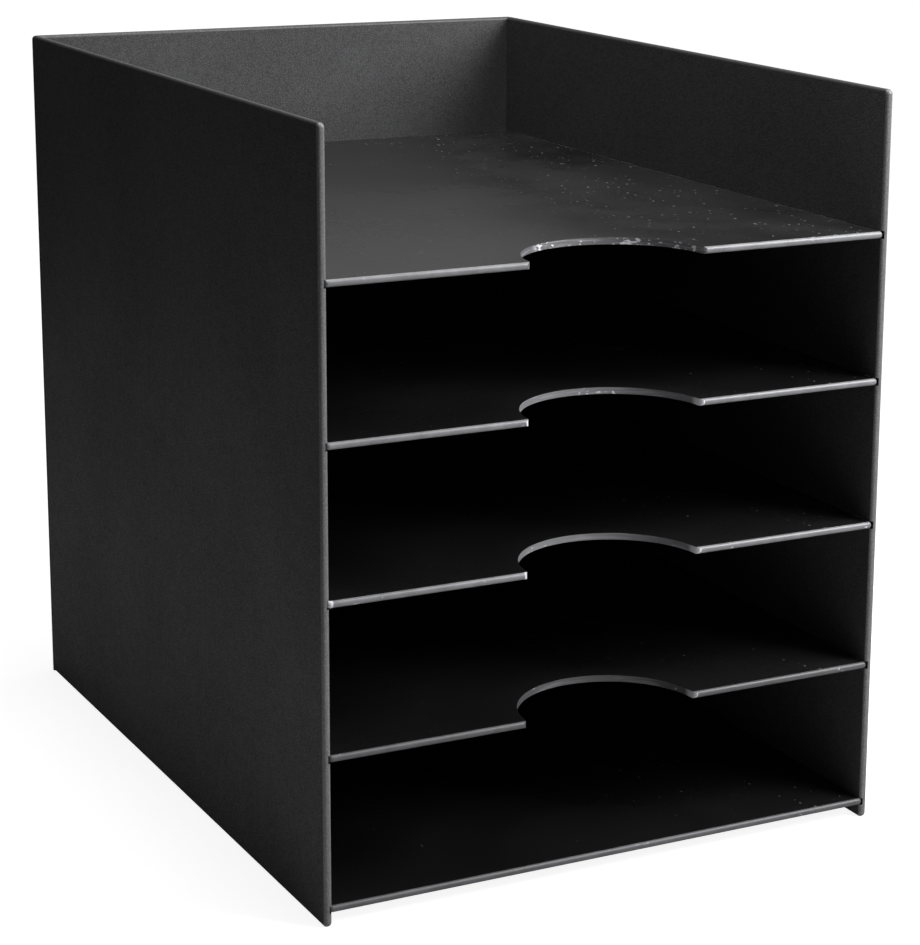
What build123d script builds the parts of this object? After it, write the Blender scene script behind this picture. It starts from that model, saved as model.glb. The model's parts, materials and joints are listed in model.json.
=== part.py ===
"""Desktop letter sorter: a case of two sides, a back and a bottom board, and four shelves.

The case stands open at the front and on top. Each shelf is a loose board that slides in a pair of
grooves in the sides, and has a half-round finger cut-out in its front edge. The space above the top
shelf is an open tray. +Z is up, the front looks along -Y, and the origin is under the middle of the case.
"""
import os

from build123d import *

os.makedirs("parts", exist_ok=True)

# Driving dimensions, in millimetres.
WIDTH = 250.0  # outside, across both sides
DEPTH = 336.0  # front edge of the sides to the rear face of the back
PANEL_T = 3.2  # thickness of the sides and the back
BOARD_T = 2.8  # thickness of the shelves and the bottom board
SHELF_COUNT = 4
PITCH = 61.0  # top face of one board to the top face of the next
TRAY_DEPTH = 57.4  # top shelf's top face to the rim of the case
FOOT_HEIGHT = 5.8  # clear space under the bottom board

GROOVE_DEPTH = 1.2  # how far the grooves are cut into the inner faces of the sides
SLIDE_GAP = 0.2  # play above and below a shelf in its groove
END_GAP = 0.25  # play between a shelf's end and the floor of its groove
REAR_GAP = 0.5  # play between a shelf's rear edge and the back

PANEL_ROUND = 1.4  # rounding of the free edges of the sides and the back
BOARD_ROUND = 1.25  # rounding of the boards' edges
SIDE_CORNER_R = 2.0  # front corners of the sides, seen from the side
BOARD_CORNER_R = 1.8  # front corners of the boards, seen from above
BACK_CORNER_R = 1.8  # top corners of the back, seen from behind

FINGER_R = 38.0  # half-round finger cut-out
FINGER_LEAD_R = 2.5  # rounding where the cut-out runs out into the front edge
FINGER_BREAK = 0.4  # broken edge along the top and bottom of the cut-out

WALL_SHARE = 0.46  # largest part of a wall's thickness that one rounding may take

# Sizes that follow from them.
height = FOOT_HEIGHT + BOARD_T + SHELF_COUNT * PITCH + TRAY_DEPTH
side_depth = DEPTH - PANEL_T
front_y = -DEPTH / 2
back_face_y = front_y + side_depth
inner_x = WIDTH / 2 - PANEL_T
groove_floor_x = inner_x + GROOVE_DEPTH
panel_round = min(PANEL_ROUND, WALL_SHARE * PANEL_T)
board_round = min(BOARD_ROUND, WALL_SHARE * BOARD_T)


def board_top(level):
    """Height of a board's top face. Level 0 is the bottom board."""
    return FOOT_HEIGHT + BOARD_T + level * PITCH


def groove(side_sign, level, play):
    """The cutter for one groove. It runs the whole depth of a side and out through its front edge."""
    tall = BOARD_T + 2 * play
    cutter = Box(GROOVE_DEPTH + PANEL_T, side_depth + PANEL_T, tall)
    outwards = groove_floor_x - (GROOVE_DEPTH + PANEL_T) / 2
    middle_z = board_top(level) - BOARD_T / 2
    return Pos(side_sign * outwards, front_y + side_depth / 2, middle_z) * cutter


def side_panel(side_sign):
    """One side: its front, top and bottom edges are rounded, and its inner face is grooved."""
    outline = Pos(front_y + side_depth / 2, height / 2) * Rectangle(side_depth, height)
    front_corners = outline.vertices().group_by(Axis.X)[0]
    outline = fillet(front_corners, SIDE_CORNER_R)
    blank = extrude(Plane.YZ * outline, PANEL_T / 2, both=True)
    rear_face = blank.faces().sort_by(Axis.Y)[-1]
    rims = blank.faces().sort_by(Axis.X)
    rim_edges = rims[0].edges() + rims[-1].edges()
    free_edges = [edge for edge in rim_edges if edge not in rear_face.edges()]
    panel = Pos(side_sign * (WIDTH - PANEL_T) / 2, 0, 0) * fillet(free_edges, panel_round)
    panel -= groove(side_sign, 0, 0)
    for level in range(1, SHELF_COUNT + 1):
        panel -= groove(side_sign, level, SLIDE_GAP)
    return panel


def back_panel():
    """The back covers the rear ends of both sides. Its rim and rear edges are rounded."""
    outline = Pos(0, height / 2) * Rectangle(WIDTH, height)
    top_corners = outline.vertices().group_by(Axis.Y)[-1]
    outline = fillet(top_corners, BACK_CORNER_R)
    blank = extrude(Plane.XZ * outline, PANEL_T / 2, both=True)
    bottom_face = blank.faces().sort_by(Axis.Z)[0]
    rims = blank.faces().sort_by(Axis.Y)
    rim_edges = rims[0].edges() + rims[-1].edges()
    free_edges = [edge for edge in rim_edges if edge not in bottom_face.edges()]
    return Pos(0, back_face_y + PANEL_T / 2, 0) * fillet(free_edges, panel_round)


def board(width, depth, level):
    """One board with a straight front edge. All its edges are rounded, and so are its front corners."""
    outline = Pos(0, front_y + depth / 2) * Rectangle(width, depth)
    front_corners = outline.vertices().group_by(Axis.Y)[0]
    outline = fillet(front_corners, BOARD_CORNER_R)
    blank = Pos(0, 0, board_top(level) - BOARD_T) * extrude(outline, BOARD_T)
    faces = blank.faces().sort_by(Axis.Z)
    return fillet(faces[0].edges() + faces[-1].edges(), board_round)


def finger_cutter(level):
    """What is milled out of a shelf's front edge: a half round that flares into the straight edge."""
    reach = FINGER_R + 2 * FINGER_LEAD_R
    front_strip = Pos(0, front_y) * Rectangle(2 * reach, 2 * reach)
    stock = Pos(0, front_y + reach) * Rectangle(2 * reach, 2 * reach) - Pos(0, front_y) * Circle(FINGER_R)
    run_outs = stock.vertices().sort_by(lambda corner: abs(corner.X))[:2]
    stock = fillet(run_outs, FINGER_LEAD_R)
    cutter = extrude(front_strip - stock, BOARD_T, both=True)
    broken_edge = Cone(FINGER_R + 2 * FINGER_BREAK, FINGER_R, 2 * FINGER_BREAK)
    for flip in (0, 180):
        cutter += Pos(0, front_y, 0) * Rot(flip, 0, 0) * Pos(0, 0, -BOARD_T / 2) * broken_edge
    return Pos(0, 0, board_top(level) - BOARD_T / 2) * cutter


def bottom_board():
    """The fixed board: it fills its grooves from end to end and reaches the back."""
    return board(2 * groove_floor_x, side_depth, 0)


def shelf(level):
    """A loose board, short of its grooves' floors and of the back by the play that lets it slide."""
    loose = board(2 * (groove_floor_x - END_GAP), side_depth - REAR_GAP, level)
    return loose - finger_cutter(level)


parts = {
    "left_side": side_panel(-1),
    "right_side": side_panel(1),
    "back_panel": back_panel(),
    "bottom_board": bottom_board(),
}
for level in range(1, SHELF_COUNT + 1):
    parts[f"shelf_{level}"] = shelf(level)

for name, solid in parts.items():
    export_step(solid, f"parts/{name}.step")
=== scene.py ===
"""Looks of the desktop letter sorter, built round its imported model.

The sorter is a black case of two leather-grained sides and a back, a fixed bottom board, and four smooth
shelves that slide in grooves and have a half-round finger cut-out. Every piece is modelled anew in the box
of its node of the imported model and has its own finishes. Lengths are metres in the frame of that model: +Z
is up and the open front looks along -Y.
"""
import json
import logging
import math
from dataclasses import dataclass
from enum import Enum

import bmesh
import bpy
from mathutils import Matrix, Vector


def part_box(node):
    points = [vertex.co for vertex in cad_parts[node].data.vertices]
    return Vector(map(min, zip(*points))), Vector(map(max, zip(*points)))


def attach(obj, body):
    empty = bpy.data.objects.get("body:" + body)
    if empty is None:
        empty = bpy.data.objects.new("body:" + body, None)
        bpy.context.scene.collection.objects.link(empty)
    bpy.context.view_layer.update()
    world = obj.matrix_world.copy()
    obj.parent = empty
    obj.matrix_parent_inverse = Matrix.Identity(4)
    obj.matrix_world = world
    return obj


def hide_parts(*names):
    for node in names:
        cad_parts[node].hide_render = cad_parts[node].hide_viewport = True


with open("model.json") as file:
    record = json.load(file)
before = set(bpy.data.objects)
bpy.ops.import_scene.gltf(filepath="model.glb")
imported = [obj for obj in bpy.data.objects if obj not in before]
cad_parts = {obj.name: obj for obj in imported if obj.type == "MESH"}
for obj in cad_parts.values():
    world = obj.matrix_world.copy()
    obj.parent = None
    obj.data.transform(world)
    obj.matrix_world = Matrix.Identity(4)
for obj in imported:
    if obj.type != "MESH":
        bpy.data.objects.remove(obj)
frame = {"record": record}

log = logging.getLogger("letter_sorter")

MM = 0.001
AXIS_SHARE = 0.999  # a unit normal this far along an axis belongs to a flat face
SMOOTH_ANGLE = math.radians(35.0)  # sharper edges than this stay sharp in the shading
LARGE_FACES_RULE = 100  # weight of large faces in the shading, where 50 is even
UPRIGHT = 0.01  # a unit normal with less Z than this belongs to an upright wall
FRONTWARDS = -0.2  # a unit normal with less Y than this looks to the front
UPWARDS = 0.3  # a unit normal with more Z than this looks up
TOWARDS_RIGHT = 0.1  # a unit normal with more X than this looks to the right
RIPPLE_SCALE = 1300.0  # of the fine orange peel on the boards
Colour = tuple[float, float, float, float]


def grey(level: float, blue: float = 0.0) -> Colour:
    """A grey of the given linear level, a little cooler by blue."""
    return (level, level, level * (1.0 + blue), 1.0)


# ---------------------------------------------------------------------------------------------------
# Node trees
# ---------------------------------------------------------------------------------------------------


class Sheet:
    """Short calls that add nodes to one node tree and join them."""

    def __init__(self, tree: bpy.types.NodeTree) -> None:
        """Takes the tree that the nodes go into."""
        self.tree = tree

    def node(self, kind: str, inputs: dict | None = None, **settings: object) -> bpy.types.Node:
        """Adds one node.

        Args:
            kind: Blender's name of the node type.
            inputs: value or socket for each named or numbered input. A socket is linked.
            settings: the node's own properties.

        Returns:
            The new node.
        """
        made = self.tree.nodes.new(kind)
        for name, value in settings.items():
            setattr(made, name, value)
        for name, value in (inputs or {}).items():
            if isinstance(value, bpy.types.NodeSocket):
                self.tree.links.new(value, made.inputs[name])
            else:
                made.inputs[name].default_value = value
        return made

    def math(self, operation: str, first: object, second: object = 0.0) -> bpy.types.NodeSocket:
        """The result of a clamped sum, product or other operation on two values."""
        inputs = {0: first, 1: second}
        return self.node("ShaderNodeMath", inputs, operation=operation, use_clamp=True).outputs[0]

    def between(self, value: bpy.types.NodeSocket, low: float, high: float) -> bpy.types.NodeSocket:
        """Turns a value into a smooth step: 0 below low and 1 above high."""
        inputs = {"Value": value, "From Min": low, "From Max": high}
        return self.node("ShaderNodeMapRange", inputs, interpolation_type="SMOOTHSTEP").outputs[0]

    def span(self, value: bpy.types.NodeSocket, low: float, high: float) -> bpy.types.NodeSocket:
        """Spreads a value from 0 to 1 evenly over low to high."""
        return self.node("ShaderNodeMapRange", {"Value": value, "To Min": low, "To Max": high}).outputs[0]

    def blend(self, share: object, first: object, second: object) -> bpy.types.NodeSocket:
        """Mixes two colours by a share from 0 to 1."""
        mixer = self.node("ShaderNodeMix", data_type="RGBA")
        for name, value in (("Factor", share), ("A", first), ("B", second)):
            socket = next(
                item for item in mixer.inputs
                if item.name == name and item.type in ("VALUE", "RGBA") and item.enabled
            )
            if isinstance(value, bpy.types.NodeSocket):
                self.tree.links.new(value, socket)
            else:
                socket.default_value = value
        return next(s for s in mixer.outputs if s.type == "RGBA")

    def place(self, scale: tuple[float, float, float] = (1.0, 1.0, 1.0)) -> bpy.types.NodeSocket:
        """The piece's own coordinates in metres, stretched by a scale along each axis."""
        here = self.node("ShaderNodeTexCoord").outputs["Object"]
        return self.node("ShaderNodeMapping", {"Vector": here, "Scale": scale}).outputs[0]

    def axis(self, letter: str) -> bpy.types.NodeSocket:
        """One of the piece's own coordinates, in metres."""
        here = self.node("ShaderNodeTexCoord").outputs["Object"]
        return self.node("ShaderNodeSeparateXYZ", {0: here}).outputs[letter]

    def noise(self, where: bpy.types.NodeSocket, scale: float, detail: float = 3.0) -> bpy.types.NodeSocket:
        """A cloudy value round 0.5."""
        inputs = {"Vector": where, "Scale": scale, "Detail": detail}
        return self.node("ShaderNodeTexNoise", inputs).outputs[0]

    def bump(self, height: bpy.types.NodeSocket, depth: float) -> bpy.types.NodeSocket:
        """The normal of a surface with a relief that is depth metres deep."""
        inputs = {"Height": height, "Distance": depth, "Strength": 1.0}
        return self.node("ShaderNodeBump", inputs).outputs[0]


class Effect(Enum):
    """The surface effects that several finishes share, each one node group."""

    LEATHER_GRAIN = "leather_grain"
    CLOUDING = "clouding"
    DUST = "dust"
    SCRATCHES = "scratches"
    NICKS = "nicks"


class Effects:
    """Builds each shared effect once and puts it into materials."""

    PULL_SCALE = 520.0  # of the drift that pulls the grain's pebbles out of their even net
    PULL = 1.6 * MM  # how far it pulls them
    CREASE = 0.22  # how far a crease reaches into a pebble, in cells
    FINE_SCALE = 2100.0  # of the roughness on the pebbles
    PATCH_SCALE = 300.0  # of the patches where the grain is deeper or flatter
    DUST_LAYERS = ((120.0, 0.07, 0.45), (260.0, 0.13, 0.7))  # cells to the metre, widest speck, scale of Y
    FAINTEST_SPECK = 0.25
    LONG_LINES = (900.0, 16.0, 40.0)  # scales along X, Y and Z: a low one draws the pattern out
    SHORT_LINES = (420.0, 90.0, 40.0)
    LINE_GAIN = 9.0  # how fast a rubbed line comes up to its full strength
    CHIPS = (430.0, 430.0, 900.0)
    CHIPPED_STRETCHES = 60.0  # scale of the stretches that the chips are gathered in
    CHIP_FADE = 0.03  # how softly a chip ends

    def __init__(self) -> None:
        """Starts with no groups; each is built when a material first asks for it."""
        self.groups: dict[Effect, bpy.types.NodeTree] = {}

    def add(self, sheet: Sheet, effect: Effect, **amounts: float) -> bpy.types.NodeSocket:
        """Places an effect in a material.

        Args:
            sheet: the material's nodes.
            effect: which effect.
            amounts: values of the group's inputs, by their names in lower case.

        Returns:
            The effect's mask or height, from 0 to 1.
        """
        if effect not in self.groups:
            self.groups[effect] = getattr(self, effect.value)()
        placed = sheet.node("ShaderNodeGroup", node_tree=self.groups[effect], label=effect.value)
        for name, value in amounts.items():
            placed.inputs[name.capitalize()].default_value = value
        return placed.outputs[0]

    def open_group(
        self, effect: Effect, output: str, **amounts: float,
    ) -> tuple[Sheet, dict, bpy.types.Node]:
        """Opens a new group.

        Args:
            effect: the effect that it holds.
            output: name of its only output.
            amounts: its inputs and their usual values.

        Returns:
            The group's sheet, its input sockets by name, and its output node.
        """
        tree = bpy.data.node_groups.new(effect.value, "ShaderNodeTree")
        kind = "NodeSocketFloat"
        for name, value in amounts.items():
            socket = tree.interface.new_socket(name.capitalize(), in_out="INPUT", socket_type=kind)
            socket.default_value = value
        tree.interface.new_socket(output, in_out="OUTPUT", socket_type=kind)
        sheet = Sheet(tree)
        entry = sheet.node("NodeGroupInput")
        return sheet, {s.name: s for s in entry.outputs}, sheet.node("NodeGroupOutput")

    def leather_grain(self) -> bpy.types.NodeTree:
        """Uneven pebbles between thin creases, as a moulded leather grain has."""
        sheet, amounts, out = self.open_group(Effect.LEATHER_GRAIN, "Height", pebbles=850.0)
        here = sheet.place()
        inputs = {"Vector": here, "Scale": self.PULL_SCALE, "Detail": 2.0}
        drift = sheet.node("ShaderNodeTexNoise", inputs).outputs[1]
        inputs = {0: drift, "Scale": self.PULL}
        pull = sheet.node("ShaderNodeVectorMath", inputs, operation="SCALE").outputs[0]
        bent = sheet.node("ShaderNodeVectorMath", {0: here, 1: pull}).outputs[0]
        inputs = {"Vector": bent, "Scale": amounts["Pebbles"]}
        cells = sheet.node("ShaderNodeTexVoronoi", inputs, feature="DISTANCE_TO_EDGE")
        pebble = sheet.between(cells.outputs["Distance"], 0.0, self.CREASE)
        fine = sheet.noise(here, self.FINE_SCALE, 2.0)
        patchy = sheet.noise(here, self.PATCH_SCALE)
        rough = sheet.math("ADD", sheet.math("MULTIPLY", fine, 0.35), sheet.math("MULTIPLY", patchy, 0.3))
        height = sheet.math("ADD", sheet.math("MULTIPLY", pebble, 0.35), rough)
        sheet.tree.links.new(height, out.inputs[0])
        return sheet.tree

    def clouding(self) -> bpy.types.NodeTree:
        """Broad soft patches, from handling and from the sheet itself."""
        sheet, amounts, out = self.open_group(Effect.CLOUDING, "Cloud", patches=14.0)
        here = sheet.place()
        inputs = {"Vector": here, "Scale": amounts["Patches"], "Detail": 5.0, "Roughness": 0.6}
        cloud = sheet.node("ShaderNodeTexNoise", inputs).outputs[0]
        sheet.tree.links.new(sheet.between(cloud, 0.3, 0.7), out.inputs[0])
        return sheet.tree

    def dust(self) -> bpy.types.NodeTree:
        """Sparse pale specks of several sizes and strengths that lie on a level surface."""
        sheet, amounts, out = self.open_group(Effect.DUST, "Specks", share=0.3)
        masks = []
        for cells, widest, stretch in self.DUST_LAYERS:
            inputs = {"Vector": sheet.place((1.0, stretch, 1.0)), "Scale": cells}
            spots = sheet.node("ShaderNodeTexVoronoi", inputs, voronoi_dimensions="2D")
            lot = sheet.node("ShaderNodeSeparateColor", {0: spots.outputs["Color"]})
            chosen = sheet.math("LESS_THAN", lot.outputs[0], amounts["Share"])
            reach = sheet.math("MULTIPLY", lot.outputs[1], widest)
            inside = sheet.math("LESS_THAN", spots.outputs["Distance"], reach)
            strength = sheet.span(lot.outputs[2], self.FAINTEST_SPECK, 1.0)
            masks.append(sheet.math("MULTIPLY", sheet.math("MULTIPLY", chosen, inside), strength))
        sheet.tree.links.new(sheet.math("MAXIMUM", masks[0], masks[1]), out.inputs[0])
        return sheet.tree

    def scratches(self) -> bpy.types.NodeTree:
        """Fine rubbed lines along the depth, where sheets of paper slide in and out."""
        sheet, amounts, out = self.open_group(Effect.SCRATCHES, "Lines", share=0.3)
        long_lines = sheet.noise(sheet.place(self.LONG_LINES), 1.0, 2.0)
        short_lines = sheet.noise(sheet.place(self.SHORT_LINES), 1.0)
        inputs = {"Value": amounts["Share"], "To Min": 0.78, "To Max": 0.55}
        start = sheet.node("ShaderNodeMapRange", inputs).outputs[0]
        lines = sheet.math("SUBTRACT", sheet.math("MAXIMUM", long_lines, short_lines), start)
        sheet.tree.links.new(sheet.math("MULTIPLY", lines, self.LINE_GAIN), out.inputs[0])
        return sheet.tree

    def nicks(self) -> bpy.types.NodeTree:
        """Small chips and rubbed places along an edge, gathered in stretches."""
        sheet, amounts, out = self.open_group(Effect.NICKS, "Nicks", share=0.3)
        chips = sheet.math("MULTIPLY", sheet.noise(sheet.place(self.CHIPS), 1.0, 4.0), 0.5)
        stretches = sheet.noise(sheet.place(), self.CHIPPED_STRETCHES, 2.0)
        where = sheet.math("MULTIPLY", stretches, 0.5)
        middling = sheet.math("ADD", chips, where)
        inputs = {"Value": amounts["Share"], "To Min": 0.66, "To Max": 0.5}
        start = sheet.node("ShaderNodeMapRange", inputs).outputs[0]
        deep = sheet.math("SUBTRACT", middling, start)
        sheet.tree.links.new(sheet.between(deep, 0.0, self.CHIP_FADE), out.inputs[0])
        return sheet.tree


EFFECTS = Effects()


# ---------------------------------------------------------------------------------------------------
# Finishes
# ---------------------------------------------------------------------------------------------------


@dataclass(frozen=True)
class Finish:
    """A finish of black plastic. Each kind draws its own pattern on it."""

    name: str
    dark: float  # linear level of the plastic itself; in the darker low copies and the highlit rim it also holds painted shade or a painted highlight
    pale: float  # linear level where it is rubbed, chipped or dusty, and of the pale stretches that are painted highlights
    smooth: float  # lowest roughness
    rough: float  # highest roughness
    shine: float  # specular level, the same all over
    blue: float = 0.03  # how much cooler than neutral

    def material(self) -> bpy.types.Material:
        """Makes the material, or gives the one that was made before."""
        made = bpy.data.materials.get(self.name)
        if made:
            return made
        made = bpy.data.materials.new(self.name)
        made.use_nodes = True
        made.diffuse_color = grey(self.dark)
        made.node_tree.nodes.clear()
        sheet = Sheet(made.node_tree)
        shader = sheet.node("ShaderNodeBsdfPrincipled", {"Specular IOR Level": self.shine})
        self.draw(sheet, shader)
        sheet.node("ShaderNodeOutputMaterial", {"Surface": shader.outputs[0]})
        return made

    def draw(self, sheet: Sheet, shader: bpy.types.Node) -> None:
        """Joins the finish's pattern to the shader. Each kind of finish has its own."""
        raise NotImplementedError

    def join(self, sheet: Sheet, shader: bpy.types.Node, **results: bpy.types.NodeSocket) -> None:
        """Links results to the shader's sockets, named in lower case with _ for a space."""
        for name, value in results.items():
            sheet.tree.links.new(value, shader.inputs[name.replace("_", " ").title()])


@dataclass(frozen=True)
class GrainedSheet(Finish):
    """The leather-grained skin of the sides and the back."""

    grain_depth: float = 0.10 * MM

    def draw(self, sheet: Sheet, shader: bpy.types.Node) -> None:
        """Grain that is paler and smoother on its crests, with cloudy patches."""
        grain = EFFECTS.add(sheet, Effect.LEATHER_GRAIN)
        cloud = EFFECTS.add(sheet, Effect.CLOUDING)
        crests = sheet.between(grain, 0.3, 0.85)
        share = sheet.math("ADD", sheet.math("MULTIPLY", crests, 0.8), sheet.math("MULTIPLY", cloud, 0.2))
        colour = sheet.blend(share, grey(self.dark, self.blue), grey(self.pale, self.blue))
        bump = sheet.bump(grain, self.grain_depth)
        roughness = sheet.span(sheet.math("SUBTRACT", 1.0, share), self.smooth, self.rough)
        self.join(sheet, shader, base_color=colour, roughness=roughness, normal=bump)


@dataclass(frozen=True)
class SmoothSheet(Finish):
    """The satin faces of the shelves and the bottom board."""

    dust_from: float = 0.0  # across the sorter, where the dust starts to show, in metres
    dust_to: float = 0.1
    dust_share: float = 0.12  # how many of the places for a speck have one
    haze: float = 0.02  # share of pale dust between the specks
    ripple_depth: float = 0.012 * MM

    def draw(self, sheet: Sheet, shader: bpy.types.Node) -> None:
        """Fine orange peel, rubbed lines and dust, thicker towards the right-hand side."""
        cloud = EFFECTS.add(sheet, Effect.CLOUDING, patches=9.0)
        dust = EFFECTS.add(sheet, Effect.DUST, share=self.dust_share)
        lines = EFFECTS.add(sheet, Effect.SCRATCHES, share=0.4)
        towards_right = sheet.between(sheet.axis("X"), self.dust_from, self.dust_to)
        drifted = sheet.math("ADD", sheet.math("MULTIPLY", towards_right, 0.8), 0.12)
        rubbed = sheet.math("MULTIPLY", lines, self.haze * 3.0)
        haze = sheet.math("MULTIPLY", cloud, self.haze)
        marks = sheet.math("MAXIMUM", dust, sheet.math("MAXIMUM", rubbed, haze))
        shown = sheet.math("MULTIPLY", marks, drifted)
        plain = sheet.blend(cloud, grey(self.dark, self.blue), grey(self.dark * 1.25, self.blue))
        colour = sheet.blend(shown, plain, grey(self.pale, self.blue))
        bump = sheet.bump(sheet.noise(sheet.place(), RIPPLE_SCALE), self.ripple_depth)
        worn = sheet.math("ADD", sheet.math("MULTIPLY", cloud, 0.5), sheet.math("MULTIPLY", shown, 0.5))
        roughness = sheet.span(worn, self.smooth, self.rough)
        self.join(sheet, shader, base_color=colour, roughness=roughness, normal=bump)


@dataclass(frozen=True)
class HighlitAndWornFinish(Finish):
    """A finish painted pale in stretches across the sorter: a painted highlight where a rounded corner of
    the cut-out catches the key lamp, and a chip at a shelf's left end.
    """

    rubbed: tuple[tuple[float, float], ...] = ()  # start and end along X of each pale stretch: a painted highlight at a corner of the cut-out, a chip at a shelf's left end
    fade: float = 0.5 * MM  # how far a stretch takes to fade out at its ends

    def add_highlights_and_chips(self, sheet: Sheet, share: bpy.types.NodeSocket) -> bpy.types.NodeSocket:
        """Adds the pale stretches, painted highlights and chips, to a share of pale.

        Args:
            sheet: the material's nodes.
            share: how pale the surface is without them, from 0 to 1.

        Returns:
            The share of pale with the stretches in it.
        """
        for start, end in self.rubbed:
            across = sheet.axis("X")
            after = sheet.between(across, start - self.fade, start)
            stretch = sheet.math("SUBTRACT", after, sheet.between(across, end, end + self.fade))
            share = sheet.math("MAXIMUM", share, stretch)
        return share


@dataclass(frozen=True)
class SatinEdge(HighlitAndWornFinish):
    """The rounded edges of the boards, paler and smoother than their faces: the paleness is partly the
    edges' own grey and partly a painted highlight.
    """

    nick_share: float = 0.1  # how readily nicks show, from 0 to 1
    ripple_depth: float = 0.03 * MM

    def draw(self, sheet: Sheet, shader: bpy.types.Node) -> None:
        """Fine ripples from the cutter, a few nicks, changes of tone along the edge, and any pale stretches:
        painted highlights and chips.
        """
        nicks = EFFECTS.add(sheet, Effect.NICKS, share=self.nick_share)
        cloud = EFFECTS.add(sheet, Effect.CLOUDING, patches=110.0)
        plain = sheet.blend(cloud, grey(self.dark, self.blue), grey(self.dark * 1.35, self.blue))
        colour = sheet.blend(self.add_highlights_and_chips(sheet, nicks), plain, grey(self.pale, self.blue))
        ripple = sheet.math("MULTIPLY", sheet.noise(sheet.place(), RIPPLE_SCALE), 0.6)
        height = sheet.math("SUBTRACT", ripple, sheet.math("MULTIPLY", nicks, 0.4))
        bump = sheet.bump(height, self.ripple_depth)
        roughness = sheet.span(cloud, self.smooth, self.rough)
        self.join(sheet, shader, base_color=colour, roughness=roughness, normal=bump)


@dataclass(frozen=True)
class RoutedWall(HighlitAndWornFinish):
    """The milled wall of a finger cut-out, streaked along its length."""

    chip_share: float = 0.3  # how readily chips show, from 0 to 1
    chips_from: float = -50.0 * MM  # across the sorter, where the chips start
    chips_fade: float = 6.0 * MM  # how far they take to come in
    streak_depth: float = 0.06 * MM

    def draw(self, sheet: Sheet, shader: bpy.types.Node) -> None:
        """Streaks that run along the wall, broken by pale chips and by pale stretches of painted highlight.
        """
        streaks = sheet.noise(sheet.place((60.0, 60.0, 1300.0)), 1.0, 3.0)
        started = sheet.between(sheet.axis("X"), self.chips_from, self.chips_from + self.chips_fade)
        chips = sheet.math("MULTIPLY", EFFECTS.add(sheet, Effect.NICKS, share=self.chip_share), started)
        pale_streak = sheet.between(streaks, 0.5, 0.68)
        share = sheet.math("ADD", sheet.math("MULTIPLY", pale_streak, 0.2), chips)
        colour = sheet.blend(self.add_highlights_and_chips(sheet, share), grey(self.dark, self.blue), grey(self.pale, self.blue))
        bump = sheet.bump(streaks, self.streak_depth)
        roughness = sheet.span(streaks, self.smooth, self.rough)
        self.join(sheet, shader, base_color=colour, roughness=roughness, normal=bump)


CUT_OUT_CORNER = (-39.4 * MM, -38.4 * MM)  # where the cut-out's left end meets the front edge, painted pale as a highlight where the key lamp catches it
RIGHT_LEAD = (37.9 * MM, 40.5 * MM)  # where the cut-out's right end runs out into the front edge, painted pale as a highlight
SHELF_END = (-123.0 * MM, -120.6 * MM)  # the left end of a shelf

GRAINED = GrainedSheet("grained_sheet", dark=0.045, pale=0.1, smooth=0.42, rough=0.62, shine=0.2)
GRAINED_RIM = GrainedSheet(
    "grained_rim", dark=0.04, pale=0.08, smooth=0.34, rough=0.5, shine=0.4, grain_depth=0.06 * MM,
)
# paler grained rim: a painted highlight on the panels' front edges and the left panel's inner rim, where the
# key lamp catches them
HIGHLIT_RIM = GrainedSheet(
    "painted_highlight_rim", dark=0.12, pale=0.22, smooth=0.28, rough=0.42, shine=0.5, grain_depth=0.05 * MM,
)
SMOOTH = SmoothSheet("satin_board", dark=0.006, pale=0.2, smooth=0.24, rough=0.34, shine=0.45)
DUSTY = SmoothSheet(
    "dusty_board", dark=0.008, pale=0.42, smooth=0.24, rough=0.36, shine=0.5, dust_share=0.32, haze=0.06,
)
# paler than the satin faces: partly the edges' own grey, partly a painted highlight
SHELF_EDGE = SatinEdge("shelf_edge", dark=0.19, pale=0.6, smooth=0.26, rough=0.38, shine=0.5, blue=0.05)
# pale stretches: a painted highlight at the cut-out's left corner and a chip at the shelf's left end
HIGHLIT_AND_WORN_EDGE = SatinEdge(
    "highlit_and_worn_shelf_edge", dark=0.18, pale=0.75, smooth=0.26, rough=0.38, shine=0.5, blue=0.05,
    rubbed=(CUT_OUT_CORNER, SHELF_END),
)
# a darker copy of shelf_edge for the lowest shelf and the bottom board: painted shade, as less light reaches
# low down
SHADED_LOW_EDGE = SatinEdge("painted_shade_board_edge", dark=0.085, pale=0.4, smooth=0.34, rough=0.46, shine=0.4, blue=0.05)
# its pale stretches at the cut-out's corner and right lead are painted highlights
WALL = RoutedWall(
    "routed_wall", dark=0.2, pale=0.8, smooth=0.24, rough=0.5, shine=0.5, blue=0.05,
    rubbed=(CUT_OUT_CORNER, RIGHT_LEAD),
)
# a darker copy of routed_wall for the lowest shelf: painted shade low down
SHADED_LOW_WALL = RoutedWall(
    "painted_shade_routed_wall", dark=0.08, pale=0.5, smooth=0.3, rough=0.5, shine=0.4, blue=0.05,
    rubbed=(RIGHT_LEAD,),
)
CHIPPED_WALL = RoutedWall(
    "chipped_wall", dark=0.15, pale=0.85, smooth=0.24, rough=0.5, shine=0.5, blue=0.05, chip_share=0.8,
    chips_from=-22.0 * MM,
)
SLOT = SmoothSheet("groove_cut", dark=0.008, pale=0.04, smooth=0.5, rough=0.7, shine=0.2)


# ---------------------------------------------------------------------------------------------------
# Mesh helpers
# ---------------------------------------------------------------------------------------------------


def slab(low: Vector, high: Vector) -> bmesh.types.BMesh:
    """A plain block between two corners."""
    block = bmesh.new()
    bmesh.ops.create_cube(block, size=1.0)
    bmesh.ops.scale(block, vec=high - low, verts=block.verts)
    bmesh.ops.translate(block, vec=(low + high) / 2, verts=block.verts)
    return block


def at(value: float, place: float) -> bool:
    """Whether a coordinate is at a place, to a thousandth of a millimetre."""
    return abs(value - place) < 0.001 * MM


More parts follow.
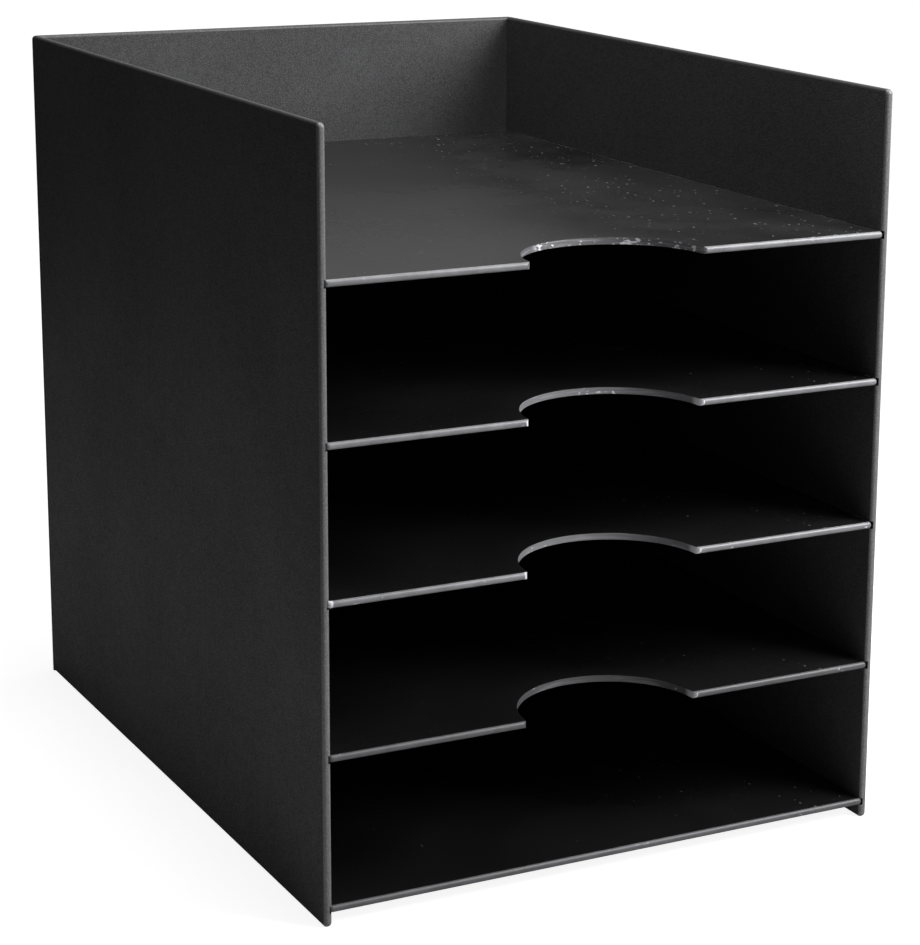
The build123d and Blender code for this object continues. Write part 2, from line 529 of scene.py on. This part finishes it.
def round_off(shape: bmesh.types.BMesh, edges: list[bmesh.types.BMEdge], radius: float, steps: int) -> None:
    """Rounds edges to a radius in a number of steps."""
    bmesh.ops.bevel(
        shape, geom=edges, offset=radius, offset_type="OFFSET", segments=steps, profile=0.5,
        affect="EDGES", material=-1, clamp_overlap=True,
    )


def edges_on(shape: bmesh.types.BMesh, axis: int, places: tuple[float, ...]) -> list[bmesh.types.BMEdge]:
    """The edges that lie wholly in one of the planes at the given places along an axis."""
    return [
        edge for edge in shape.edges
        if any(all(at(vert.co[axis], place) for vert in edge.verts) for place in places)
    ]


def to_object(shape: bmesh.types.BMesh, name: str) -> bpy.types.Object:
    """Turns a bmesh into an object of the scene, with its normals outwards, and frees it."""
    bmesh.ops.recalc_face_normals(shape, faces=shape.faces)
    mesh = bpy.data.meshes.new(name)
    shape.to_mesh(mesh)
    shape.free()
    made = bpy.data.objects.new(name, mesh)
    bpy.context.scene.collection.objects.link(made)
    return made


def carve(body: bpy.types.Object, cutter: bpy.types.Object) -> None:
    """Cuts one object out of another and removes the cutter."""
    modifier = body.modifiers.new("carve", "BOOLEAN")
    modifier.operation = "DIFFERENCE"
    modifier.solver = "EXACT"
    modifier.object = cutter
    bpy.context.view_layer.update()
    graph = bpy.context.evaluated_depsgraph_get()
    carved = bpy.data.meshes.new_from_object(body.evaluated_get(graph))
    body.modifiers.clear()
    whole = body.data
    body.data = carved
    carved.name = body.name
    for spare in (whole, cutter.data):
        bpy.data.meshes.remove(spare)


def shade(made: bpy.types.Object) -> None:
    """Shades roundings smooth and keeps flat faces flat."""
    mesh = made.data
    mesh.shade_smooth()
    mesh.set_sharp_from_angle(angle=SMOOTH_ANGLE)
    weighted = made.modifiers.new("flat_faces", "WEIGHTED_NORMAL")
    weighted.keep_sharp = True
    weighted.weight = LARGE_FACES_RULE


# ---------------------------------------------------------------------------------------------------
# The sorter's pieces
# ---------------------------------------------------------------------------------------------------


class Side(Enum):
    """The two sides of the case, by the sign of X."""

    LEFT = -1
    RIGHT = 1


@dataclass
class Piece:
    """One piece of the sorter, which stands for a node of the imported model."""

    node: str
    body: str
    slot: str
    rim_steps: int = 8  # steps of a rounded edge
    corner_steps: int = 6  # steps of a rounded corner in the outline

    def __post_init__(self) -> None:
        """Reads where the node stands, once for all the piece's methods."""
        self.low, self.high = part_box(self.node)

    def build(self) -> bpy.types.Object:
        """Models, dresses and places the piece.

        Returns:
            The finished object, riding on its body.
        """
        made = self.model()
        self.dress(made)
        shade(made)
        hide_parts(self.node)
        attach(made, self.body)
        log.info("%s: %d faces, rides on %s", made.name, len(made.data.polygons), self.body)
        return made

    def model(self) -> bpy.types.Object:
        """Makes the piece's mesh. Each kind of piece has its own."""
        raise NotImplementedError

    def finishes(self) -> list[Finish]:
        """The finishes on the piece, in the order of its material slots."""
        raise NotImplementedError

    def choose(self, normal: Vector, middle: Vector) -> int:
        """Which of the finishes a face takes, by its normal and its middle."""
        raise NotImplementedError

    def dress(self, made: bpy.types.Object) -> None:
        """Gives every face its finish."""
        made.data.materials.clear()
        for finish in self.finishes():
            made.data.materials.append(finish.material())
        for face in made.data.polygons:
            face.material_index = self.choose(face.normal, face.center)


@dataclass
class SidePanel(Piece):
    """A side of the case: rounded front, top and bottom edges, and a groove for every board."""

    side: Side = Side.LEFT
    boards: tuple[str, ...] = ()
    rim_radius: float = 1.4 * MM
    corner_radius: float = 2.0 * MM
    slide_gap: float = 0.2 * MM  # play above and below a loose shelf in its groove
    lip_break: float = 0.25 * MM  # asked for along a groove's lips; the mesh gets 0.027 mm of it
    lip_steps: int = 2
    skin: float = 0.01 * MM  # a face no further in than this belongs to the panel's flat faces
    groove_margin: float = 1.0 * MM  # level faces closer than this to the top or bottom aren't a groove's
    overshoot: float = 3.0 * MM  # how far the groove cutters reach past the panel

    def groove_floor(self) -> float:
        """X of the floor of the grooves, which the fixed bottom board fills from end to end."""
        return self.side.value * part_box(self.boards[0])[1].x

    def model(self) -> bpy.types.Object:
        """Rounds a block, cuts the grooves into its inner face and breaks their lips very slightly."""
        low, high = self.low, self.high
        shape = slab(low, high)
        corners = [
            edge for edge in edges_on(shape, 1, (low.y,))
            if at(edge.verts[0].co.z, edge.verts[1].co.z)
        ]
        round_off(shape, corners, self.corner_radius, self.corner_steps)
        at_rear = set(edges_on(shape, 1, (high.y,)))
        rims = [edge for edge in edges_on(shape, 0, (low.x, high.x)) if edge not in at_rear]
        round_off(shape, rims, self.rim_radius, self.rim_steps)
        made = to_object(shape, self.node + "_panel")
        carve(made, self.groove_cutters())
        shape = bmesh.new()
        shape.from_mesh(made.data)
        inner_x = low.x if self.side is Side.RIGHT else high.x
        in_groove = [low.z + self.rim_radius, high.z - self.rim_radius]
        lips = [
            edge for edge in edges_on(shape, 0, (inner_x,))
            if edge.calc_face_angle(0.0) > SMOOTH_ANGLE and in_groove[0] < edge.verts[0].co.z < in_groove[1]
            and at(edge.verts[0].co.z, edge.verts[1].co.z)
        ]
        round_off(shape, lips, self.lip_break, self.lip_steps)
        shape.to_mesh(made.data)
        shape.free()
        return made

    def groove_cutters(self) -> bpy.types.Object:
        """The bars that cut the boards' grooves, out through both ends of the panel."""
        floor_x = self.groove_floor()
        open_x = floor_x - self.side.value * (self.high.x - self.low.x)
        bars = bmesh.new()
        for board in self.boards:
            board_low, board_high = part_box(board)
            play = 0.0 if board == self.boards[0] else self.slide_gap
            start = Vector((min(floor_x, open_x), self.low.y - self.overshoot, board_low.z - play))
            end = Vector((max(floor_x, open_x), self.high.y + self.overshoot, board_high.z + play))
            bar = bmesh.ops.create_cube(bars, size=1.0)["verts"]
            bmesh.ops.scale(bars, vec=end - start, verts=bar)
            bmesh.ops.translate(bars, vec=(start + end) / 2, verts=bar)
        return to_object(bars, "groove_cutters")

    def finishes(self) -> list[Finish]:
        """Grained faces and rims, bare grooves, and a paler rim that paints a highlight on the front edges.
        """
        return [GRAINED, GRAINED_RIM, SLOT, HIGHLIT_RIM]

    def choose(self, normal: Vector, middle: Vector) -> int:
        """Flat faces are grained, grooves bare, and the front and the left side's inner rim take the paler
        rim, a painted highlight.
        """
        across = abs(normal.x) > AXIS_SHARE
        inside = self.low.x + self.skin < middle.x < self.high.x - self.skin
        if across and not inside:
            return 0
        level = abs(normal.z) > AXIS_SHARE
        in_groove = level and self.low.z + self.groove_margin < middle.z < self.high.z - self.groove_margin
        if in_groove or (across and inside):
            return 2
        # the left panel's inner rim faces the key lamp, so it takes the painted highlight
        highlit_inner_rim = self.side is Side.LEFT and normal.z > UPWARDS and normal.x > TOWARDS_RIGHT
        return 3 if normal.y < FRONTWARDS or highlit_inner_rim else 1


@dataclass
class BackPanel(Piece):
    """The back, which covers the rear ends of the sides."""

    rim_radius: float = 1.4 * MM
    corner_radius: float = 1.8 * MM

    def model(self) -> bpy.types.Object:
        """Rounds a block along its top, its sides and the rear."""
        low, high = self.low, self.high
        shape = slab(low, high)
        corners = [
            edge for edge in edges_on(shape, 2, (high.z,))
            if at(edge.verts[0].co.x, edge.verts[1].co.x)
        ]
        round_off(shape, corners, self.corner_radius, self.corner_steps)
        at_bottom = set(edges_on(shape, 2, (low.z,)))
        rims = [edge for edge in edges_on(shape, 1, (low.y, high.y)) if edge not in at_bottom]
        round_off(shape, rims, self.rim_radius, self.rim_steps)
        return to_object(shape, self.node + "_sheet")

    def finishes(self) -> list[Finish]:
        """Grained faces and rims."""
        return [GRAINED, GRAINED_RIM]

    def choose(self, normal: Vector, middle: Vector) -> int:
        """Front and rear faces are grained, and the rest is rim."""
        return 0 if abs(normal.y) > AXIS_SHARE else 1


@dataclass
class Board(Piece):
    """A smooth board with rounded edges: the bottom board, and what a shelf is cut from."""

    face: Finish = SMOOTH
    # the bottom board takes the darker edge, which is painted shade
    edge: Finish = SHADED_LOW_EDGE
    rim_radius: float = 1.25 * MM
    corner_radius: float = 1.8 * MM

    def model(self) -> bpy.types.Object:
        """Rounds a block's front corners and then all its edges."""
        low, high = self.low, self.high
        shape = slab(low, high)
        corners = [
            edge for edge in edges_on(shape, 1, (low.y,))
            if at(edge.verts[0].co.x, edge.verts[1].co.x)
        ]
        round_off(shape, corners, self.corner_radius, self.corner_steps)
        round_off(shape, edges_on(shape, 2, (low.z, high.z)), self.rim_radius, self.rim_steps)
        return to_object(shape, self.node + "_sheet")

    def finishes(self) -> list[Finish]:
        """Smooth faces and satin edges."""
        return [self.face, self.edge]

    def choose(self, normal: Vector, middle: Vector) -> int:
        """Upper and lower faces are smooth, and the rest is edge."""
        return 0 if abs(normal.z) > AXIS_SHARE else 1


@dataclass
class Shelf(Board):
    """A loose shelf: a board with a half-round finger cut-out in its front edge."""

    wall: Finish = WALL
    finger_radius: float = 38.0 * MM
    lead_radius: float = 2.5 * MM  # where the cut-out runs out into the front edge
    break_radius: float = 0.35 * MM  # asked for along the wall's edges; the mesh gets 0.067 mm of it
    break_steps: int = 3
    front_skin: float = 0.1 * MM  # a face no further back than this belongs to the front edge
    arc_steps: int = 72
    lead_steps: int = 8

    def model(self) -> bpy.types.Object:
        """Cuts the finger cut-out into a board and breaks the wall's sharp edges slightly."""
        made = super().model()
        low, high = self.low, self.high
        carve(made, self.finger_cutter(low, high))
        shape = bmesh.new()
        shape.from_mesh(made.data)
        flat_from = low.y + self.rim_radius + self.lead_radius / 2
        sharp = [
            edge for edge in edges_on(shape, 2, (low.z, high.z))
            if edge.calc_face_angle(0.0) > SMOOTH_ANGLE and min(vert.co.y for vert in edge.verts) > flat_from
            and max(abs(vert.co.x) for vert in edge.verts) < self.finger_radius + self.lead_radius
        ]
        round_off(shape, sharp, self.break_radius, self.break_steps)
        shape.to_mesh(made.data)
        shape.free()
        return made

    def finger_cutter(self, low: Vector, high: Vector) -> bpy.types.Object:
        """The half-round block, with its two flared run-outs, that is milled out of the front edge."""
        reach = math.sqrt((self.finger_radius + self.lead_radius) ** 2 - self.lead_radius ** 2)
        turn = math.asin(self.lead_radius / (self.finger_radius + self.lead_radius))
        floor = low.z - self.lead_radius
        shape = bmesh.new()
        arcs = (
            (reach, low.y + self.lead_radius, turn - math.pi / 2, self.lead_steps),
            (0.0, low.y, math.pi - 2 * turn, self.arc_steps),
            (-reach, low.y + self.lead_radius, turn - math.pi / 2, self.lead_steps),
        )
        tip = shape.verts.new((reach, low.y, floor))
        front = shape.verts.new((reach, low.y - self.finger_radius, floor))
        shape.edges.new((tip, front))
        for across, depth, angle, steps in arcs:
            swept = bmesh.ops.spin(
                shape, geom=[tip], cent=(across, depth, floor), axis=(0, 0, 1), dvec=(0, 0, 0),
                angle=angle, steps=steps, use_merge=False, use_duplicate=False,
            )
            tip = next(item for item in swept["geom_last"] if isinstance(item, bmesh.types.BMVert))
        last = shape.verts.new((-reach, low.y - self.finger_radius, floor))
        shape.edges.new((tip, last))
        shape.edges.new((last, front))
        outline = bmesh.ops.contextual_create(shape, geom=shape.edges)["faces"]
        raised = bmesh.ops.extrude_face_region(shape, geom=outline)["geom"]
        lifted = [item for item in raised if isinstance(item, bmesh.types.BMVert)]
        bmesh.ops.translate(shape, vec=(0, 0, high.z - low.z + 2 * self.lead_radius), verts=lifted)
        return to_object(shape, "finger_cutter")

    def finishes(self) -> list[Finish]:
        """Smooth faces, satin edges and the milled wall."""
        return [self.face, self.edge, self.wall]

    def choose(self, normal: Vector, middle: Vector) -> int:
        """The cut-out's wall is milled, its broken edges are like the faces, the rest as on any board."""
        low = self.low
        near = abs(middle.x) < self.finger_radius + self.lead_radius
        deep = low.y + self.front_skin < middle.y < low.y + self.finger_radius + self.lead_radius
        if near and deep:
            if abs(normal.z) < UPRIGHT:
                return 2
            if middle.y > low.y + self.rim_radius:
                return 0
        return super().choose(normal, middle)


# ---------------------------------------------------------------------------------------------------
# Studio and camera
# ---------------------------------------------------------------------------------------------------


@dataclass(frozen=True)
class Lamp:
    """A soft rectangular lamp that looks at a point."""

    name: str
    place: tuple[float, float, float]
    aim: tuple[float, float, float]
    width: float
    height: float
    level: float  # radiance of its face, where 1 is white

    def build(self) -> bpy.types.Object:
        """Hangs the lamp and turns it to its aim."""
        light = bpy.data.lights.new(self.name, "AREA")
        light.shape = "RECTANGLE"
        light.size = self.width
        light.size_y = self.height
        light.energy = self.level * math.pi * self.width * self.height
        made = bpy.data.objects.new(self.name, light)
        made.visible_camera = False
        made.location = self.place
        towards = Vector(self.aim) - Vector(self.place)
        made.rotation_euler = towards.to_track_quat("-Z", "Y").to_euler()
        bpy.context.scene.collection.objects.link(made)
        log.info("lamp %s at %s", self.name, self.place)
        return made


@dataclass(frozen=True)
class Flag:
    """A dark card that only the gloss of the object sees, as a studio keeps a black object black."""

    name: str
    low: tuple[float, float, float]
    high: tuple[float, float, float]
    level: float

    def build(self) -> bpy.types.Object:
        """Stands the card up and hides it from everything but reflections."""
        made = to_object(slab(Vector(self.low), Vector(self.high)), self.name)
        material = bpy.data.materials.new(self.name)
        material.use_nodes = True
        material.node_tree.nodes.clear()
        sheet = Sheet(material.node_tree)
        glow = sheet.node("ShaderNodeEmission", {"Color": grey(self.level), "Strength": 1.0})
        sheet.node("ShaderNodeOutputMaterial", {"Surface": glow.outputs[0]})
        made.data.materials.append(material)
        made.visible_camera = False
        made.visible_diffuse = False
        made.visible_shadow = False
        made.visible_transmission = False
        return made


@dataclass(frozen=True)
class Studio:
    """A pale floor, a white background and soft lamps."""

    floor_half: float = 9.0
    floor_level: float = 0.5
    mottle: float = 1.03  # how much paler the floor's pale patches are than the rest
    mottle_scale: float = 6.0
    fill: float = 0.05  # level of the surroundings as a light
    lift: float = 0.9  # what brings the floor to white where the picture shows it, close to the object
    white_from: float = 0.35  # away from the middle of the object, where the lift starts to grow
    white_to: float = 1.1  # where it reaches 1
    gloss_lift: float = 0.1  # the same where the object's gloss shows it, close to its lamplit level

    def build(self, lamps: tuple[Lamp, ...], flags: tuple[Flag, ...]) -> None:
        """Builds the floor, the surroundings, the lamps and the flags."""
        self.build_floor()
        self.build_world()
        for item in (*lamps, *flags):
            item.build()

    def shown(self, sheet: Sheet, mirrored: float) -> bpy.types.NodeSocket:
        """How much of the background's white a ray sees.

        Args:
            sheet: the nodes of the floor or the world.
            mirrored: what glossy and transmitted rays see of it.

        Returns:
            1 for camera rays, mirrored for glossy and transmitted ones, 0 for those that light the object.
        """
        path = sheet.node("ShaderNodeLightPath").outputs
        through = sheet.math("MAXIMUM", path["Is Glossy Ray"], path["Is Transmission Ray"])
        return sheet.math("MAXIMUM", path["Is Camera Ray"], sheet.math("MULTIPLY", through, mirrored))

    def build_floor(self) -> None:
        """Lays the floor, which keeps the object's shadow."""
        shape = bmesh.new()
        bmesh.ops.create_grid(shape, x_segments=1, y_segments=1, size=self.floor_half)
        made = to_object(shape, "floor")
        material = bpy.data.materials.new("pale_floor")
        material.use_nodes = True
        material.node_tree.nodes.clear()
        sheet = Sheet(material.node_tree)
        patches = sheet.noise(sheet.place(), self.mottle_scale, 2.0)
        colour = sheet.blend(patches, grey(self.floor_level), grey(self.floor_level * self.mottle))
        matt = sheet.node("ShaderNodeBsdfDiffuse", {"Color": colour})
        away = sheet.node("ShaderNodeVectorMath", {0: sheet.place()}, operation="LENGTH")
        far = sheet.between(away.outputs["Value"], self.white_from, self.white_to)
        lift = sheet.span(far, self.lift, 1.0)
        lifted = sheet.math("MULTIPLY", self.shown(sheet, self.gloss_lift / self.lift), lift)
        glow = sheet.node("ShaderNodeEmission", {"Color": grey(1.0), "Strength": lifted})
        both = sheet.node("ShaderNodeAddShader", {0: matt.outputs[0], 1: glow.outputs[0]})
        sheet.node("ShaderNodeOutputMaterial", {"Surface": both.outputs[0]})
        made.data.materials.append(material)

    def build_world(self) -> None:
        """Makes the surroundings white to look at and a plain fill as a light."""
        world = bpy.data.worlds.new("studio")
        world.use_nodes = True
        world.node_tree.nodes.clear()
        sheet = Sheet(world.node_tree)
        level = sheet.span(self.shown(sheet, 1.0), self.fill, 1.0)
        back = sheet.node("ShaderNodeBackground", {"Color": grey(1.0), "Strength": level})
        sheet.node("ShaderNodeOutputWorld", {"Surface": back.outputs[0]})
        bpy.context.scene.world = world


@dataclass(frozen=True)
class PhotoCamera:
    """The camera where the photograph was taken from."""

    place: tuple[float, float, float] = (-0.50050, -1.04655, 0.43734)
    yaw: float = 28.033  # degrees from +Y towards +X
    pitch: float = -13.051  # degrees above the horizon
    roll: float = 0.548
    focal_px: float = 2679.14
    principal_x: float = 543.0  # where the optical axis meets the picture
    principal_y: float = 380.0
    picture_width: float = 920.0
    picture_height: float = 945.0
    sensor: float = 36.0  # millimetres along the picture's longer side

    def build(self) -> bpy.types.Object:
        """Sets the camera up and makes it the scene's."""
        lens = bpy.data.cameras.new("photo_camera")
        lens.sensor_width = self.sensor
        lens.lens = self.focal_px * self.sensor / self.picture_height
        lens.shift_x = (self.picture_width / 2 - self.principal_x) / self.picture_height
        lens.shift_y = (self.principal_y - self.picture_height / 2) / self.picture_height
        lens.clip_start = 0.05
        lens.clip_end = 60.0
        made = bpy.data.objects.new("photo_camera", lens)
        turn = Matrix.Rotation(-math.radians(self.yaw), 4, "Z")
        turn @= Matrix.Rotation(math.radians(90.0 + self.pitch), 4, "X")
        turn @= Matrix.Rotation(math.radians(self.roll), 4, "Z")
        made.matrix_world = Matrix.Translation(self.place) @ turn
        bpy.context.scene.collection.objects.link(made)
        bpy.context.scene.camera = made
        return made


LAMPS = (
    Lamp("key_softbox", (0.55, -0.55, 0.7), (0.0, -0.05, 0.2), 0.5, 0.6, 12.0),
    Lamp("top_strip", (0.0, -0.05, 1.0), (0.0, -0.05, 0.2), 0.24, 0.6, 10.0),
)
FLAGS = (
    Flag("left_flag", (-0.46, -0.9, 0.0), (-0.45, 1.0, 1.6), 0.02),
    Flag("rear_left_flag", (-0.46, 1.0, 0.0), (-0.08, 1.01, 1.8), 0.02),
    Flag("back_flag", (-0.08, 1.0, 0.0), (1.6, 1.01, 1.8), 0.30),
)


def main() -> None:
    """Builds the studio and every piece, and reports them."""
    logging.basicConfig(level=logging.INFO, format="%(name)s: %(message)s")
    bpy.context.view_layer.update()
    bpy.context.scene.view_settings.view_transform = "Standard"
    PhotoCamera().build()
    Studio().build(LAMPS, FLAGS)
    bodies = frame["record"]["behaviour"]["bodies"]
    shelves = {body: nodes[0] for body, nodes in bodies.items() if body.startswith("shelf")}
    boards = ("bottom_board", *sorted(shelves.values()))
    for side, node in ((Side.LEFT, "left_side"), (Side.RIGHT, "right_side")):
        SidePanel(node, "case", "grained_panel", side=side, boards=boards).build()
    BackPanel("back_panel", "case", "grained_panel").build()
    Board("bottom_board", "case", "smooth_board").build()
    # finishes by shelf: the low edge and wall are painted shade, the highlit edge holds a painted highlight
    # and a chip, and the dust and chips are real
    shelf_finishes_and_painted_light = {
        "shelf_1": {"edge": SHADED_LOW_EDGE, "wall": SHADED_LOW_WALL},
        "shelf_2": {"edge": HIGHLIT_AND_WORN_EDGE},
        "shelf_3": {"edge": SHELF_EDGE},
        "shelf_4": {"edge": SHELF_EDGE, "face": DUSTY, "wall": CHIPPED_WALL},
    }
    for body, node in sorted(shelves.items()):
        Shelf(node, body, "smooth_board", **shelf_finishes_and_painted_light[body]).build()


if __name__ == "__main__":
    main()
